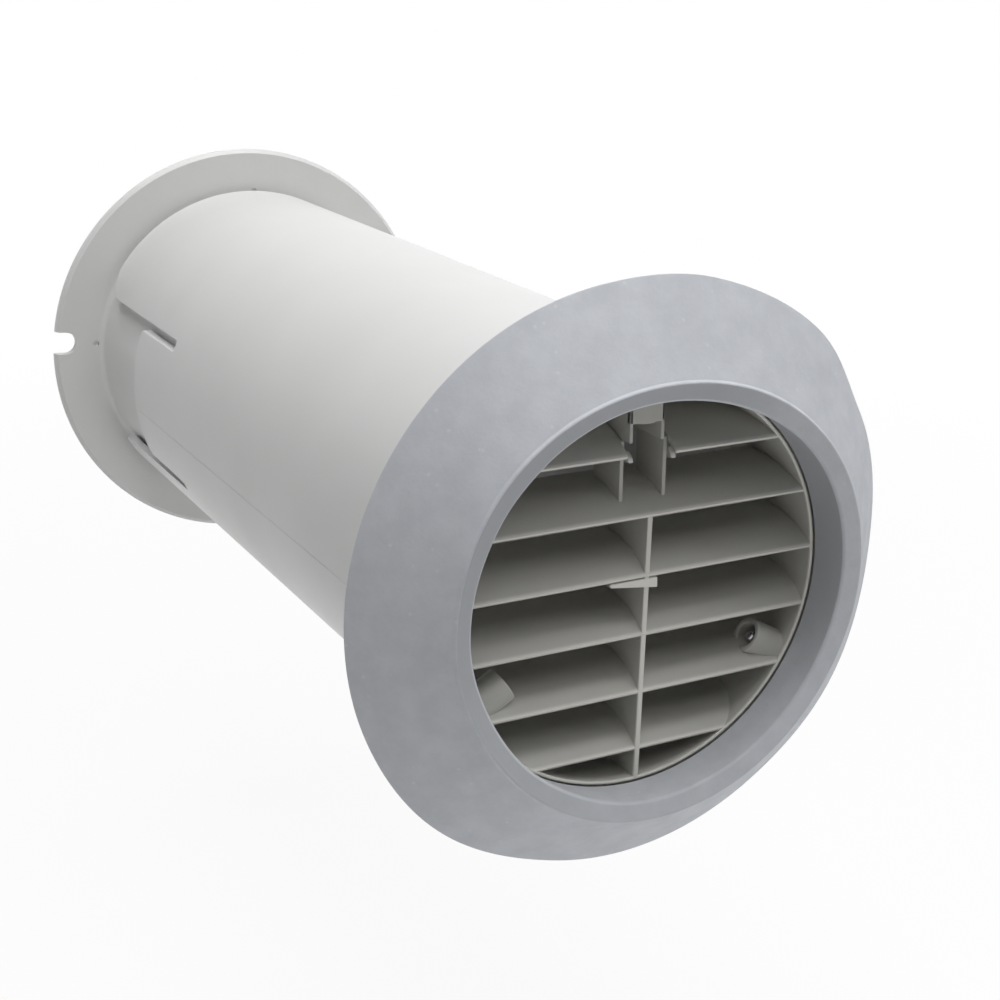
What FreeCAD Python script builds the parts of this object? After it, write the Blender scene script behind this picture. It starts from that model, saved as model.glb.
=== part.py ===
# Wall vent sleeve: a tube through a house wall, with a louvred grille and a soft rubber weather
# flange at its outdoor end and a flange plate with a push-in spigot at its room end.
# Millimetres. The tube lies along Y: y = 0 is the inner face of the wall, outdoors is -Y, +Z is up.
import FreeCAD
import Part
import math
import os

Vector = FreeCAD.Vector

# Tube
TUBE_DIAMETER = 110.0
TUBE_WALL = 2.4
TUBE_LENGTH = 268.0
TUBE_EDGE_BEVEL = 0.8
TUBE_TO_WALL_FACE = 3.0

# Spring fingers, one on each side of the tube's room end
FINGER_ANGLE = 45.0
FINGER_SETBACK = 44.0
FINGER_LENGTH = 33.0
FINGER_TURN = 1.4
FINGER_SLOT_WIDTH = 3.1
FINGER_CORNER_ROUND = 2.0
WINDOW_CORNER_ROUND = 14.0
HOOK_LENGTH = 3.5
HOOK_FLAT = 1.8

# Rubber flange
LIP_DEPTH = 12.9
LIP_COVER = 4.6
LIP_DRAFT = 0.8
BAND_WIDTH = 4.1
BAND_DISH = 0.6
FLAP_DIAMETER = 146.0
FLAP_DEPTH = 16.5
FLAP_THICKNESS = 1.6
SLEEVE_LENGTH = 14.0
SLEEVE_WALL = 2.4

# Louvre grille
RING_WALL = 2.9
RING_LENGTH = 30.0
RING_SETBACK = 0.2
RING_LAND = 0.6
RING_REBATE = 1.5
SLAT_COUNT = 6
SLAT_PITCH = 14.8
LOWEST_SLAT_HEIGHT = -41.8
SLAT_THICKNESS = 1.3
SLAT_DEPTH = 20.0
SLAT_BEND_RADIUS = 24.0
SLAT_DROOP = 42.0
TOP_SLAT_STEP = 0.3
TOP_SLAT_GAP = 12.8
TOP_SLAT_LIP = 1.6
TOP_SLAT_LIP_LENGTH = 2.5
RIB_OFFSET = 2.1
RIB_THICKNESS = 1.4
RIB_DEPTH = 18.0
RIB_LEAN = 1.6
RIB_PIVOT_HEIGHT = -15.0
CHUTE_OFFSET = 2.7
CHUTE_WIDTH = 11.6
CHUTE_RIB_THICKNESS = 1.1
CHUTE_SETBACK = 4.0
CHUTE_DEPTH = 12.0
GATE_LENGTH = 12.9
GATE_OVERHANG = 3.2
GATE_THICKNESS = 1.7
GATE_DROP = 0.9
GATE_TIP_HEIGHT = 0.8
GATE_END_HEIGHT = 2.6

# Screw bosses of the grille, and their screws
BOSS_ANGLES = (87.5, 211.5, 330.0)
BOSS_LENGTHS = (10.2, 11.0, 8.8)
BOSS_DIAMETER = 8.8
BOSS_SETBACK = 5.4
BOSS_MOUTH_DIAMETER = 6.2
BOSS_MOUTH_DEPTH = 5.0
SADDLE_OFFSET = 1.6
SADDLE_WIDTH = 9.4
SADDLE_DROP = 4.1
SADDLE_THICKNESS = 1.0
SCREW_DIAMETER = 3.0
SCREW_HEAD_DIAMETER = 5.8
SCREW_HEAD_HEIGHT = 1.7
SCREW_LENGTH = 13.5

# Inner flange
PLATE_DIAMETER = 137.5
PLATE_THICKNESS = 3.0
PLATE_BEVEL = 1.2
PLATE_EDGE_BEVEL = 0.6
PLATE_TURN = -5.5
SPIGOT_GAP = 2.0
SPIGOT_WALL = 2.5
SPIGOT_TAIL = 32.0
BEAD_WIDTH = 4.0
NOTCH_WIDTH = 7.6
NOTCH_DEPTH = 7.4
DIMPLE_COUNT = 4
DIMPLE_CIRCLE_DIAMETER = 109.2
DIMPLE_DIAMETER = 1.8
DIMPLE_DEPTH = 0.6

# Clearances
SLEEVE_CLEARANCE = 0.15
RING_CLEARANCE = 0.3
SNAP_CLEARANCE = 0.4
SCREW_CLEARANCE = 0.1

# Overshoot of a cutting tool past the face that it cuts, and of a rib into the wall that carries it
OVERSHOOT = 5.0
ROOT = 0.8

# Values that follow from the sizes above
TUBE_RADIUS = TUBE_DIAMETER / 2
TUBE_BORE_RADIUS = TUBE_RADIUS - TUBE_WALL
TUBE_REAR = -TUBE_TO_WALL_FACE
TUBE_FRONT = TUBE_REAR - TUBE_LENGTH
FINGER_TIP = TUBE_REAR - FINGER_SETBACK
SLOT_END = FINGER_TIP - FINGER_LENGTH
FINGER_HALF_HEIGHT = TUBE_RADIUS * math.sin(math.radians(FINGER_ANGLE / 2))
SPIGOT_RADIUS = TUBE_BORE_RADIUS - SPIGOT_GAP
BEAD_REAR = FINGER_TIP - HOOK_LENGTH - SNAP_CLEARANCE
BEAD_FRONT = BEAD_REAR - BEAD_WIDTH
BEAD_RADIUS = TUBE_BORE_RADIUS - SNAP_CLEARANCE
SPIGOT_END = BEAD_FRONT - SPIGOT_TAIL
RING_FRONT = TUBE_FRONT + RING_SETBACK
RING_RADIUS = TUBE_BORE_RADIUS - RING_CLEARANCE
RING_BORE_RADIUS = RING_RADIUS - RING_WALL
BOSS_AXIS_Y = RING_FRONT + BOSS_SETBACK
BOSS_ENDS = [RING_BORE_RADIUS - length for length in BOSS_LENGTHS]
FULL_TURN = 360.0
HALF_TURN = 180.0


def bevelled(corners):
    """Cut the corners of a (u, v, bevel) outline back along both sides, as plain (u, v, 0) corners."""
    points = []
    count = len(corners)
    for index, (u, v, bevel) in enumerate(corners):
        if bevel == 0:
            points.append((u, v, 0))
            continue
        corner = Vector(u, v, 0)
        for other in (corners[index - 1], corners[(index + 1) % count]):
            cut = corner + (Vector(other[0], other[1], 0) - corner).normalize() * bevel
            points.append((cut.x, cut.y, 0))
    return points


def rounded_wire(corners, place):
    """A closed wire through (u, v, radius) corners, each corner rounded by its own tangent arc."""
    edges = []
    previous_end = None
    first_start = None
    count = len(corners)
    for index, (u, v, radius) in enumerate(corners):
        corner = Vector(u, v, 0)
        before = Vector(*corners[index - 1][:2], 0)
        after = Vector(*corners[(index + 1) % count][:2], 0)
        start = corner
        end = corner
        arc = None
        if radius > 0:
            back = (before - corner).normalize()
            ahead = (after - corner).normalize()
            half = back.getAngle(ahead) / 2
            start = corner + back * (radius / math.tan(half))
            end = corner + ahead * (radius / math.tan(half))
            inward = (back + ahead).normalize()
            middle = corner + inward * (radius / math.sin(half) - radius)
            arc = Part.Arc(place(start), place(middle), place(end)).toShape()
        if previous_end is None:
            first_start = start
        else:
            edges.append(Part.LineSegment(place(previous_end), place(start)).toShape())
        if arc is not None:
            edges.append(arc)
        previous_end = end
    edges.append(Part.LineSegment(place(previous_end), place(first_start)).toShape())
    return Part.Wire(edges)


def turned(corners):
    """Revolve a (radius, y, rounding) outline round the tube's axis."""
    outline = rounded_wire(corners, lambda p: Vector(p.x, p.y, 0))
    return Part.Face(outline).revolve(Vector(0, 0, 0), Vector(0, 1, 0), FULL_TURN)


def side_prism(corners, x_from, x_to):
    """Extrude a (y, z, rounding) outline across the tube, along X."""
    outline = rounded_wire(corners, lambda p: Vector(x_from, p.x, p.y))
    return Part.Face(outline).extrude(Vector(x_to - x_from, 0, 0))


def axial_cylinder(radius, y_from, y_to):
    return Part.makeCylinder(radius, y_to - y_from, Vector(0, y_from, 0), Vector(0, 1, 0))


def radial_direction(angle):
    """Outward direction at an angle from +X towards +Z, seen from outdoors."""
    return Vector(math.cos(math.radians(angle)), 0, math.sin(math.radians(angle)))


def radial_cylinder(radius, angle, y, r_from, r_to):
    outward = radial_direction(angle)
    return Part.makeCylinder(radius, r_to - r_from, outward * r_from + Vector(0, y, 0), outward)


def finger_window(side):
    """Cutter that frees one finger: a wide mouth at the tube's end and a slot along each edge."""
    inner = FINGER_HALF_HEIGHT
    outer = FINGER_HALF_HEIGHT + FINGER_SLOT_WIDTH
    mouth = outer + WINDOW_CORNER_ROUND
    past_end = TUBE_REAR + OVERSHOOT
    straight = TUBE_REAR - WINDOW_CORNER_ROUND
    slotted = side_prism(
        [
            (past_end, -outer, 0), (past_end, outer, 0),
            (SLOT_END, outer, 0), (SLOT_END, inner, 0),
            (FINGER_TIP, inner, FINGER_CORNER_ROUND), (FINGER_TIP, -inner, FINGER_CORNER_ROUND),
            (SLOT_END, -inner, 0), (SLOT_END, -outer, 0),
        ],
        0, side * TUBE_DIAMETER)
    corners = []
    for sign in (1, -1):
        block = side_prism(
            [
                (past_end, sign * outer, 0), (past_end, sign * mouth, 0),
                (straight, sign * mouth, 0), (straight, sign * outer, 0),
            ],
            0, side * TUBE_DIAMETER)
        round_off = Part.makeCylinder(
            WINDOW_CORNER_ROUND, TUBE_DIAMETER, Vector(0, straight, sign * mouth), Vector(side, 0, 0))
        corners.append(block.cut(round_off))
    return slotted.fuse(corners)


def finger_hook(side):
    """Catch inside a finger's tip, which snaps over the bead of the spigot."""
    catch_radius = SPIGOT_RADIUS + SNAP_CLEARANCE
    ring = turned([
        (catch_radius, FINGER_TIP - HOOK_LENGTH, 0), (TUBE_BORE_RADIUS + ROOT, FINGER_TIP - HOOK_LENGTH, 0),
        (TUBE_BORE_RADIUS + ROOT, FINGER_TIP, 0), (TUBE_BORE_RADIUS, FINGER_TIP, 0),
        (catch_radius, FINGER_TIP - HOOK_LENGTH + HOOK_FLAT, 0),
    ])
    reach = FINGER_HALF_HEIGHT - FINGER_CORNER_ROUND
    keep = side_prism(
        [
            (FINGER_TIP - FINGER_LENGTH, -reach, 0), (FINGER_TIP + OVERSHOOT, -reach, 0),
            (FINGER_TIP + OVERSHOOT, reach, 0), (FINGER_TIP - FINGER_LENGTH, reach, 0),
        ],
        0, side * TUBE_DIAMETER)
    return ring.common(keep)


def screw_shape(angle, radial_gap):
    """A countersunk self-tapping screw, flush with the tube, grown all round by a gap."""
    outward = radial_direction(angle)
    seat = TUBE_RADIUS
    neck = seat - SCREW_HEAD_HEIGHT
    tip = seat - SCREW_LENGTH
    shank = SCREW_DIAMETER / 2 + radial_gap
    head = SCREW_HEAD_DIAMETER / 2 + radial_gap
    centre = Vector(0, BOSS_AXIS_Y, 0)
    cone = Part.makeCone(shank, head, SCREW_HEAD_HEIGHT, centre + outward * neck, outward)
    body = Part.makeCylinder(shank, neck - tip, centre + outward * tip, outward)
    return cone.fuse(body).removeSplitter()


def wall_tube():
    tube = turned(bevelled([
        (TUBE_BORE_RADIUS, TUBE_FRONT, 0), (TUBE_RADIUS, TUBE_FRONT, 0),
        (TUBE_RADIUS, TUBE_REAR, TUBE_EDGE_BEVEL), (TUBE_BORE_RADIUS, TUBE_REAR, TUBE_EDGE_BEVEL),
    ]))
    windows = [finger_window(-1), finger_window(1)]
    hooks = [finger_hook(-1), finger_hook(1)]
    for shape in windows + hooks:
        shape.rotate(Vector(0, 0, 0), Vector(0, -1, 0), FINGER_TURN)
    tube = tube.cut(windows).fuse(hooks)
    holes = [screw_shape(angle, SCREW_CLEARANCE) for angle in BOSS_ANGLES]
    return tube.cut(holes).removeSplitter()


def rubber_flange():
    """Cone and lip in one moulding, with a sleeve that grips the tube's outdoor end."""
    crest = TUBE_FRONT - LIP_DEPTH
    lip_radius = TUBE_RADIUS - LIP_COVER
    band_inner = lip_radius - LIP_DRAFT
    band_outer = band_inner + BAND_WIDTH
    grip = TUBE_RADIUS + SLEEVE_CLEARANCE
    sleeve = grip + SLEEVE_WALL
    flap_radius = FLAP_DIAMETER / 2
    flap_angle = math.atan2(FLAP_DEPTH, flap_radius - band_outer)
    under_rise = FLAP_THICKNESS / math.cos(flap_angle)
    edge_radius = flap_radius - FLAP_THICKNESS * math.sin(flap_angle)
    edge_y = crest + FLAP_DEPTH + FLAP_THICKNESS * math.cos(flap_angle)
    root_y = crest + (sleeve - band_outer) * math.tan(flap_angle) + under_rise
    sleeve_end = TUBE_FRONT + SLEEVE_LENGTH
    return turned([
        (band_inner, crest + BAND_DISH, 0), (band_outer, crest, 0),
        (flap_radius, crest + FLAP_DEPTH, 0), (edge_radius, edge_y, 0),
        (sleeve, root_y, 0), (sleeve, sleeve_end, 0),
        (grip, sleeve_end, 0), (grip, TUBE_FRONT, 0), (lip_radius, TUBE_FRONT, 0),
    ])


def slat_height(index):
    return LOWEST_SLAT_HEIGHT + index * SLAT_PITCH


def slat_surface(height, drop):
    """Edges of a slat's upper surface from front to back, or of the surface a drop below it."""
    droop = math.radians(SLAT_DROOP)
    radius = SLAT_BEND_RADIUS - drop
    centre_y = RING_FRONT + SLAT_BEND_RADIUS * math.sin(droop)
    centre_z = height - SLAT_BEND_RADIUS * math.cos(droop)

    def on_bend(angle):
        return Vector(0, centre_y - radius * math.sin(angle), centre_z + radius * math.cos(angle))

    bend = Part.Arc(on_bend(droop), on_bend(droop / 2), on_bend(0)).toShape()
    back = Vector(0, RING_FRONT + SLAT_DEPTH, centre_z + radius)
    flat = Part.LineSegment(on_bend(0), back).toShape()
    return bend, flat, on_bend(droop), back


def across(edges, x_from, x_to):
    """Extrude a closed outline that lies in the plane x = 0, from one X to another."""
    face = Part.Face(Part.Wire(Part.__sortEdges__(edges)))
    face.translate(Vector(x_from, 0, 0))
    return face.extrude(Vector(x_to - x_from, 0, 0))


def slat(height, x_from, x_to):
    """A louvre blade: flat at the back, bent down towards its front edge to shed rain."""
    top_bend, top_flat, top_front, top_back = slat_surface(height, 0)
    low_bend, low_flat, low_front, low_back = slat_surface(height, SLAT_THICKNESS)
    front = Part.LineSegment(top_front, low_front).toShape()
    back = Part.LineSegment(top_back, low_back).toShape()
    return across([top_bend, top_flat, back, low_flat, low_bend, front], x_from, x_to)


def above_slat(height):
    """All the space over the middle of a slat, to trim what stands on it or hangs under it."""
    bend, flat, front, back = slat_surface(height, SLAT_THICKNESS / 2)
    ceiling = TUBE_DIAMETER
    behind = Vector(0, TUBE_REAR, back.z)
    ahead = Vector(0, TUBE_FRONT - LIP_DEPTH, front.z)
    corner_back = Vector(0, TUBE_REAR, ceiling)
    corner_front = Vector(0, TUBE_FRONT - LIP_DEPTH, ceiling)
    stops = [back, behind, corner_back, corner_front, ahead, front]
    edges = [Part.LineSegment(start, end).toShape() for start, end in zip(stops, stops[1:])]
    return across([bend, flat] + edges, -TUBE_RADIUS, TUBE_RADIUS)


def upright(x_middle, thickness, y_from, y_to, z_from, z_to):
    """A plate that stands along the tube's axis."""
    corner = Vector(x_middle - thickness / 2, y_from, z_from)
    return Part.makeBox(thickness, y_to - y_from, z_to - z_from, corner)


def louvre_grille():
    top = SLAT_COUNT - 1
    gap_left = CHUTE_OFFSET - TOP_SLAT_GAP / 2
    gap_right = CHUTE_OFFSET + TOP_SLAT_GAP / 2
    left_height = slat_height(top) + TOP_SLAT_STEP / 2
    right_height = slat_height(top) - TOP_SLAT_STEP / 2
    inside = [slat(slat_height(index), -RING_RADIUS, RING_RADIUS) for index in range(top)]
    inside.append(slat(left_height, -RING_RADIUS, gap_left))
    inside.append(slat(right_height, gap_right, RING_RADIUS))

    over_second = above_slat(slat_height(top - 1))
    rib_back = RING_FRONT + RIB_DEPTH
    rib = upright(RIB_OFFSET, RIB_THICKNESS, RING_FRONT, rib_back, -TUBE_DIAMETER, TUBE_DIAMETER)
    rib.rotate(Vector(RIB_OFFSET, 0, RIB_PIVOT_HEIGHT), Vector(0, 1, 0), RIB_LEAN)
    inside.append(rib.cut(over_second))

    for side, height in ((-1, left_height), (1, right_height)):
        chute_front = RING_FRONT + CHUTE_SETBACK
        chute_back = chute_front + CHUTE_DEPTH
        x_rib = CHUTE_OFFSET + side * CHUTE_WIDTH / 2
        chute = upright(x_rib, CHUTE_RIB_THICKNESS, chute_front, chute_back, 0, RING_RADIUS)
        inside.append(chute.common(over_second).cut(above_slat(height)))
        x_lip = CHUTE_OFFSET + side * (TOP_SLAT_GAP - SLAT_THICKNESS) / 2
        lip = upright(x_lip, SLAT_THICKNESS, RING_FRONT, RING_FRONT + TOP_SLAT_LIP_LENGTH,
                      height - TOP_SLAT_LIP, height + RING_WALL)
        end_of_slat = lip.common(slat(height, x_lip - ROOT, x_lip + ROOT))
        inside.append(lip.cut(above_slat(height)).fuse(end_of_slat))

    saddle_front = BOSS_AXIS_Y - BOSS_DIAMETER / 2
    for side in (-1, 1):
        x_wall = SADDLE_OFFSET + side * (SADDLE_WIDTH - SADDLE_THICKNESS) / 2
        inside.append(upright(x_wall, SADDLE_THICKNESS, saddle_front, saddle_front + CHUTE_DEPTH,
                              BOSS_ENDS[0] - SADDLE_DROP, RING_RADIUS))

    for angle, end in zip(BOSS_ANGLES, BOSS_ENDS):
        inside.append(radial_cylinder(BOSS_DIAMETER / 2, angle, BOSS_AXIS_Y, end, RING_RADIUS))

    gate_right = RIB_OFFSET + GATE_OVERHANG
    gate_left = gate_right - GATE_LENGTH
    gate_top = slat_height(top - 2) - GATE_DROP
    gate = Part.Face(rounded_wire(
        [
            (gate_right, gate_top - GATE_END_HEIGHT, 0), (gate_right, gate_top, 0),
            (gate_left, gate_top, 0), (gate_left, gate_top - GATE_TIP_HEIGHT, 0),
        ],
        lambda p: Vector(p.x, RING_FRONT, p.y)))
    inside.append(gate.extrude(Vector(0, GATE_THICKNESS, 0)))

    land = RING_BORE_RADIUS + RING_LAND
    ring = turned([
        (RING_BORE_RADIUS, RING_FRONT, 0), (land, RING_FRONT, 0),
        (land, RING_FRONT + RING_REBATE, 0), (RING_RADIUS, RING_FRONT + RING_REBATE, 0),
        (RING_RADIUS, RING_FRONT + RING_LENGTH, 0), (RING_BORE_RADIUS, RING_FRONT + RING_LENGTH, 0),
    ])
    bore = axial_cylinder(RING_BORE_RADIUS + RING_LAND / 2, RING_FRONT, RING_FRONT + RING_LENGTH)
    filling = inside[0].fuse(inside[1:]).common(bore)
    grille = ring.fuse(filling)
    for angle, end in zip(BOSS_ANGLES, BOSS_ENDS):
        mouth_end = end + BOSS_MOUTH_DEPTH
        mouth = radial_cylinder(BOSS_MOUTH_DIAMETER / 2, angle, BOSS_AXIS_Y, end - ROOT, mouth_end)
        pilot = radial_cylinder(SCREW_DIAMETER / 2 + SCREW_CLEARANCE, angle, BOSS_AXIS_Y,
                                end, RING_RADIUS + ROOT)
        grille = grille.cut([mouth, pilot])
    return grille.removeSplitter()


def grille_screws():
    return Part.makeCompound([screw_shape(angle, 0) for angle in BOSS_ANGLES])


def inner_flange():
    """Wall plate and spigot in one moulding, with two screw notches in the plate's rim."""
    bore = SPIGOT_RADIUS - SPIGOT_WALL
    rim = PLATE_DIAMETER / 2
    plate = turned(bevelled([
        (bore, PLATE_THICKNESS, 0), (rim, PLATE_THICKNESS, PLATE_EDGE_BEVEL),
        (rim, 0, PLATE_BEVEL), (SPIGOT_RADIUS, 0, 0),
        (SPIGOT_RADIUS, BEAD_REAR, 0), (BEAD_RADIUS, BEAD_REAR, 0),
        (BEAD_RADIUS, (BEAD_REAR + BEAD_FRONT) / 2, 0), (SPIGOT_RADIUS, BEAD_FRONT, 0),
        (SPIGOT_RADIUS, SPIGOT_END, 0), (bore, SPIGOT_END, 0),
    ]))
    cutters = []
    for half in range(2):
        angle = PLATE_TURN + half * HALF_TURN
        notch_centre = rim - NOTCH_DEPTH + NOTCH_WIDTH / 2
        round_end = axial_cylinder(NOTCH_WIDTH / 2, -OVERSHOOT, PLATE_THICKNESS + OVERSHOOT)
        round_end.translate(Vector(notch_centre, 0, 0))
        mouth = Part.makeBox(NOTCH_DEPTH + OVERSHOOT, PLATE_THICKNESS + 2 * OVERSHOOT, NOTCH_WIDTH,
                             Vector(notch_centre, -OVERSHOOT, -NOTCH_WIDTH / 2))
        notch = round_end.fuse(mouth)
        notch.rotate(Vector(0, 0, 0), Vector(0, -1, 0), angle)
        cutters.append(notch)
    for index in range(DIMPLE_COUNT):
        outward = radial_direction(PLATE_TURN + index * FULL_TURN / DIMPLE_COUNT)
        dimple = axial_cylinder(DIMPLE_DIAMETER / 2, -OVERSHOOT, DIMPLE_DEPTH)
        dimple.translate(outward * (DIMPLE_CIRCLE_DIAMETER / 2))
        cutters.append(dimple)
    return plate.cut(cutters).removeSplitter()


os.makedirs("parts", exist_ok=True)
for node in (wall_tube, rubber_flange, louvre_grille, grille_screws, inner_flange):
    node().exportStep("parts/" + node.__name__ + ".step")
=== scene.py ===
# Wall vent sleeve: a white tube through a house wall, with a flange plate at its room end and,
# outdoors, a grey louvre grille inside a soft rubber weather flange.
# Meshes are drawn in millimetres and scaled to metres when they become pieces.
import math

import bmesh
import bpy
from mathutils import Matrix, Vector


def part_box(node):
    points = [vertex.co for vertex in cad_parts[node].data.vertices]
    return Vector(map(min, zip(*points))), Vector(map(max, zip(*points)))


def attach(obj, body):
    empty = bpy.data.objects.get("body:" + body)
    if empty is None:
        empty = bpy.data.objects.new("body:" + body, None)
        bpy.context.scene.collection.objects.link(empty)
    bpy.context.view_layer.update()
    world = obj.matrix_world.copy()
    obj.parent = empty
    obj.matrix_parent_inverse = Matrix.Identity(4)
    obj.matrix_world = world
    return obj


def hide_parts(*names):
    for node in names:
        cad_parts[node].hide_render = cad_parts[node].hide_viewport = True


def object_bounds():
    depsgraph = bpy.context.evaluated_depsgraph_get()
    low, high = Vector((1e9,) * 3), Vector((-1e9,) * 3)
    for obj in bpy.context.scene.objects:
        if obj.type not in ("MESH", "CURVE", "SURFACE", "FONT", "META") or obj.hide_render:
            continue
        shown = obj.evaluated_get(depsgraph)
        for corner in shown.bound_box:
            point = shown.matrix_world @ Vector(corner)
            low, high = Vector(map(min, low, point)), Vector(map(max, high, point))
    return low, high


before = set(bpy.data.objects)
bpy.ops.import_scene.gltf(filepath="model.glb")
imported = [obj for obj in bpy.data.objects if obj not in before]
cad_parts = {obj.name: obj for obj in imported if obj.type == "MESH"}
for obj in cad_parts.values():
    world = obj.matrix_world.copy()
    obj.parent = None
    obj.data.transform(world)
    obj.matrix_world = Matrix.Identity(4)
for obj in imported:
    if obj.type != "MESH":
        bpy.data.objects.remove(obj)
cad_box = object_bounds()

# Wall tube: one moulding of white ABS, open at both ends, with a fine seam along each side where the
# mould parted. Near the room end each side is cut free as a spring finger, which holds the spigot.
MM = 0.001
TUBE_RADIUS = 55.0
TUBE_WALL = 2.4
TUBE_EDGE_ROUND = 0.9
TUBE_FACETS = 288
ARC_STEPS = 5
WALL_STEPS = 5
FINGER_HALF_ANGLE = 22.5
FINGER_SETBACK = 44.0
FINGER_LENGTH = 33.0
FINGER_TURN = 1.4
FINGER_SLOT_WIDTH = 3.1
FINGER_CORNER_ROUND = 2.0
SLOT_CORNER_ROUND = 0.7
WINDOW_ROUND = 14.0
FLARE_PAST_END = 0.64
FLARE_STEPS = 12
CUTTER_REACH = 8.0
SEAM_ANGLES = (6.0, -174.0)
SEAM_WIDTH = 0.9
SEAM_DEPTH = 0.09
MOULDED_EDGE = 0.3
EDGE_SEGMENTS = 2
SHARP_ANGLE = 34.0
WHITE_LIGHT = "#ebebea"
WHITE_DARK = "#e3e3e2"
WHITE_GLOSS = (0.3, 0.46)
WHITE_CLOUD = 42.0
WHITE_CLOUD_DETAIL = 3.0
WHITE_PEEL = 1.1
WHITE_PEEL_DETAIL = 2.0
WHITE_PEEL_STRENGTH = 0.12
WHITE_PEEL_DEPTH = 0.05
ABS_IOR = 1.52

tube_low, tube_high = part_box("wall_tube")
TUBE_FRONT = tube_low.y / MM
TUBE_REAR = tube_high.y / MM
TUBE_BORE = TUBE_RADIUS - TUBE_WALL
FINGER_TIP = TUBE_REAR - FINGER_SETBACK
SLOT_END = FINGER_TIP - FINGER_LENGTH
FINGER_HALF_HEIGHT = TUBE_RADIUS * math.sin(math.radians(FINGER_HALF_ANGLE))


def rounded(corners):
    """Points of a closed (u, v, rounding) outline, with an arc at each rounded corner."""
    points = []
    for index, (u, v, rounding) in enumerate(corners):
        corner = Vector((u, v))
        if rounding == 0:
            points.append(corner)
            continue
        back = (Vector(corners[index - 1][:2]) - corner).normalized()
        ahead = (Vector(corners[(index + 1) % len(corners)][:2]) - corner).normalized()
        half = back.angle(ahead) / 2
        centre = corner + (back + ahead).normalized() * (rounding / math.sin(half))
        start = corner + back * (rounding / math.tan(half)) - centre
        end = corner + ahead * (rounding / math.tan(half)) - centre
        for step in range(ARC_STEPS + 1):
            points.append(centre + start.slerp(end, step / ARC_STEPS).normalized() * rounding)
    return points


def turned(outline, facets, start=0.0, sweep=360.0):
    """Turn a closed (radius, y) outline round the Y axis, right round or over part of a turn."""
    solid = bmesh.new()
    whole = sweep == 360.0
    rings = []
    for step in range(facets if whole else facets + 1):
        angle = math.radians(start + sweep * step / facets)
        rings.append([solid.verts.new((u * math.cos(angle), v, u * math.sin(angle))) for u, v in outline])
    for index in range(facets):
        ring = rings[index]
        after = rings[(index + 1) % len(rings)]
        for corner in range(len(outline)):
            solid.faces.new((ring[corner - 1], ring[corner], after[corner], after[corner - 1]))
    if not whole:
        solid.faces.new(rings[0])
        solid.faces.new(rings[-1])
    bmesh.ops.recalc_face_normals(solid, faces=solid.faces)
    return solid


def pushed(outline, near, far):
    """Push a closed outline from one plane to another; near and far turn (u, v) into a place."""
    solid = bmesh.new()
    first = [solid.verts.new(near(u, v)) for u, v in outline]
    last = [solid.verts.new(far(u, v)) for u, v in outline]
    for corner in range(len(outline)):
        solid.faces.new((first[corner - 1], first[corner], last[corner], last[corner - 1]))
    solid.faces.new(first)
    solid.faces.new(last)
    bmesh.ops.recalc_face_normals(solid, faces=solid.faces)
    return solid


def as_mesh(name, *solids):
    """Gather solids, still in millimetres, in one mesh."""
    gathered = bmesh.new()
    for solid in solids:
        part = bpy.data.meshes.new(name)
        solid.to_mesh(part)
        gathered.from_mesh(part)
        bpy.data.meshes.remove(part)
        solid.free()
    mesh = bpy.data.meshes.new(name)
    gathered.to_mesh(mesh)
    gathered.free()
    return mesh


def as_object(name, content):
    """Place a mesh, a lamp or a camera in the scene, at the origin and unturned."""
    piece = bpy.data.objects.new(name, content)
    bpy.context.scene.collection.objects.link(piece)
    return piece


def bake(piece):
    """Replace a piece's mesh by the result of its modifiers."""
    graph = bpy.context.evaluated_depsgraph_get()
    result = bpy.data.meshes.new_from_object(piece.evaluated_get(graph))
    piece.modifiers.clear()
    piece.data = result


def cut(piece, cutter_mesh):
    """Take a cutter's volume out of a piece."""
    cutter = as_object("cutter", cutter_mesh)
    boolean = piece.modifiers.new("cut", "BOOLEAN")
    boolean.object = cutter
    boolean.solver = "EXACT"
    bake(piece)
    bpy.data.objects.remove(cutter)


def round_edges(piece, edge):
    """Round a moulding's sharp edges."""
    bevel = piece.modifiers.new("moulded edge", "BEVEL")
    bevel.width = edge
    bevel.segments = EDGE_SEGMENTS
    bevel.limit_method = "ANGLE"
    bevel.angle_limit = math.radians(SHARP_ANGLE)
    bevel.use_clamp_overlap = False
    bake(piece)


def finish_moulding(piece, material):
    """Scale a moulding to metres, shade it smooth and give it its material."""
    piece.data.transform(Matrix.Scale(MM, 4))
    piece.data.shade_smooth()
    piece.data.set_sharp_from_angle(angle=math.radians(SHARP_ANGLE))
    piece.data.materials.clear()
    piece.data.materials.append(material)
    weighted = piece.modifiers.new("large faces lead", "WEIGHTED_NORMAL")
    weighted.keep_sharp = True
    bake(piece)


def finger_window():
    """Outline of the cut round a finger: a flared mouth at the room end, a slot along each edge.

    The flare runs a little past the tube's end, so that the cut meets the rim between two facets.
    """
    inner = FINGER_HALF_HEIGHT
    outer = FINGER_HALF_HEIGHT + FINGER_SLOT_WIDTH
    half = [(TUBE_REAR + CUTTER_REACH, outer + WINDOW_ROUND, 0)]
    for step in range(FLARE_STEPS, -1, -1):
        angle = math.radians(90.0 * step / FLARE_STEPS)
        along = TUBE_REAR + FLARE_PAST_END - WINDOW_ROUND * (1 - math.sin(angle))
        half.append((along, outer + WINDOW_ROUND * (1 - math.cos(angle)), 0))
    half += [(SLOT_END, outer, SLOT_CORNER_ROUND), (SLOT_END, inner, SLOT_CORNER_ROUND)]
    half.append((FINGER_TIP, inner, FINGER_CORNER_ROUND))
    return rounded(half + [(y, -z, rounding) for y, z, rounding in reversed(half)])


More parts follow.
